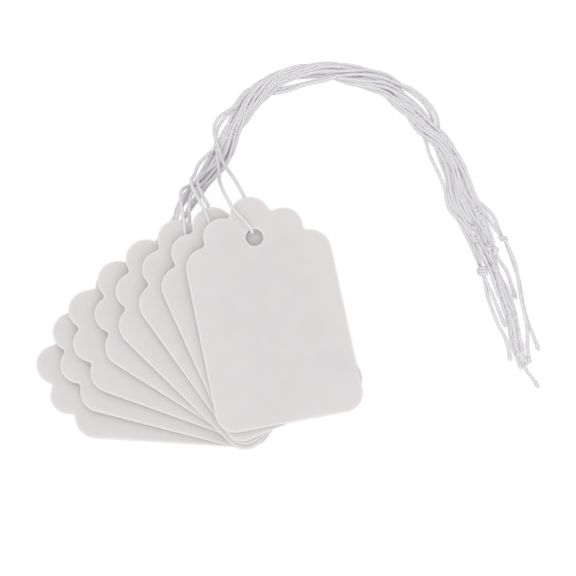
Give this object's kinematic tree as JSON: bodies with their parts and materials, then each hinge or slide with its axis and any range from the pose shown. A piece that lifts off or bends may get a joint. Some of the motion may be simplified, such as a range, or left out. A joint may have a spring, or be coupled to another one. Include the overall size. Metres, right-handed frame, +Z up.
{
  "type": "strung price tag",
  "caption": "Blank scalloped card price tags fanned out flat, each swinging on its own looped and knotted white string, the strings twisted into one arching bundle.",
  "frame": {"origin": "on the table, under the middle of the fan of cards", "axes": "+Z up from the table, +X along the longer side of the fan of cards, towards the knots, and +Y towards the arch of the strings"},
  "size_m": [0.0952, 0.0807, 0.013],
  "materials": {
    "card": "matte",
    "string": "matte"
  },
  "bodies": {
    "strings": {"tag_1_string": "string", "tag_2_string": "string", "tag_3_string": "string", "tag_4_string": "string", "tag_5_string": "string", "tag_6_string": "string", "tag_7_string": "string", "tag_8_string": "string", "tag_1_knot": "string", "tag_2_knot": "string", "tag_3_knot": "string", "tag_4_knot": "string", "tag_5_knot": "string", "tag_6_knot": "string", "tag_7_knot": "string", "tag_8_knot": "string"},
    "tag_1": {"tag_1_card": "card"},
    "tag_2": {"tag_2_card": "card"},
    "tag_3": {"tag_3_card": "card"},
    "tag_4": {"tag_4_card": "card"},
    "tag_5": {"tag_5_card": "card"},
    "tag_6": {"tag_6_card": "card"},
    "tag_7": {"tag_7_card": "card"},
    "tag_8": {"tag_8_card": "card"}
  },
  "joints": [
    {"name": "tag_1_swing", "type": "hinge", "parent": "strings", "child": "tag_1", "pos_m": [0.00981, 0.01678, 0.0107], "axis": [0.0976, -0.1249, 0.9874], "range_deg": [-40, 60]},
    {"name": "tag_2_swing", "type": "hinge", "parent": "strings", "child": "tag_2", "pos_m": [0.00365, 0.01537, 0.00971], "axis": [0.086, -0.1101, 0.9902], "range_deg": [-45, 35]},
    {"name": "tag_3_swing", "type": "hinge", "parent": "strings", "child": "tag_3", "pos_m": [-0.00201, 0.01371, 0.00856], "axis": [0.0743, -0.0951, 0.9927], "range_deg": [-50, 30]},
    {"name": "tag_4_swing", "type": "hinge", "parent": "strings", "child": "tag_4", "pos_m": [-0.00718, 0.01068, 0.00718], "axis": [0.0625, -0.08, 0.9948], "range_deg": [-60, 30]},
    {"name": "tag_5_swing", "type": "hinge", "parent": "strings", "child": "tag_5", "pos_m": [-0.01181, 0.00751, 0.00573], "axis": [0.0507, -0.0649, 0.9966], "range_deg": [-70, 30]},
    {"name": "tag_6_swing", "type": "hinge", "parent": "strings", "child": "tag_6", "pos_m": [-0.01683, 0.00298, 0.00421], "axis": [0.0388, -0.0497, 0.998], "range_deg": [-80, 30]},
    {"name": "tag_7_swing", "type": "hinge", "parent": "strings", "child": "tag_7", "pos_m": [-0.01972, -0.00052, 0.00269], "axis": [0.0269, -0.0344, 0.999], "range_deg": [-85, 30]},
    {"name": "tag_8_swing", "type": "hinge", "parent": "strings", "child": "tag_8", "pos_m": [-0.02261, -0.00568, 0.00118], "axis": [0.0149, -0.019, 0.9997], "range_deg": [-95, 30]}
  ]
}
